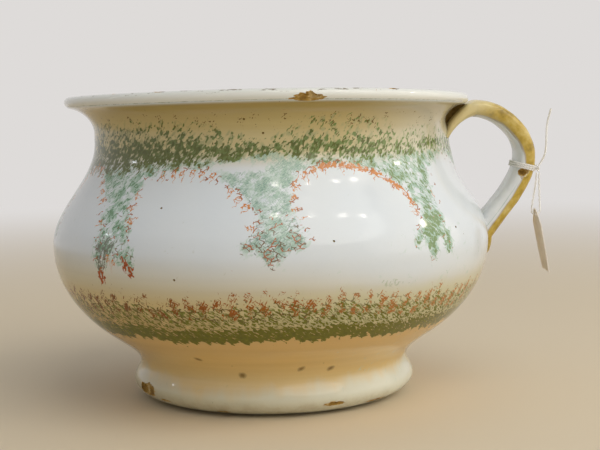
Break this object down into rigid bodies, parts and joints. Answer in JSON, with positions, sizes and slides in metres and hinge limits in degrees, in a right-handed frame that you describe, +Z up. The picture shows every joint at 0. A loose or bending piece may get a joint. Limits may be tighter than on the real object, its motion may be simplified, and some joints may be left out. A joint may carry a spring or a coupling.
{
  "type": "chamber pot",
  "caption": "Round-bellied glazed earthenware chamber pot with flared lip, rolled foot, strap handle, sponged green and rust decoration and a card tag hung on string.",
  "frame": {"origin": "on the pot's axis, in the plane of the table that the foot stands on", "axes": "+Z up along the pot's axis, +X towards the handle, -Y the side that the picture shows"},
  "size_m": [0.2521, 0.22, 0.1505],
  "materials": {
    "glaze_white": "glossy white tin glaze with sponged green and rust decoration",
    "glaze_ochre": "glossy ochre-washed glaze",
    "cotton": "twisted white cotton string",
    "card": "uncoated grey-brown card"
  },
  "bodies": {
    "pot": {"pot_body": "glaze_white", "foot_ring": "glaze_white", "handle_strap": "glaze_ochre", "string_wrap": "cotton", "string_knot": "cotton", "string_end": "cotton"},
    "string": {"string_drop": "cotton"},
    "tag": {"tag_card": "card"}
  },
  "joints": [
    {"name": "string_swing", "type": "hinge", "parent": "pot", "child": "string", "pos_m": [0.13526, -0.01, 0.11178], "axis": [0, -1, 0], "range_deg": [-10, 80]},
    {"name": "tag_turn", "type": "hinge", "parent": "string", "child": "tag", "pos_m": [0.13416, -0.01, 0.08848], "axis": [0.9848, 0, 0.1736], "range_deg": [-75, 75]}
  ]
}
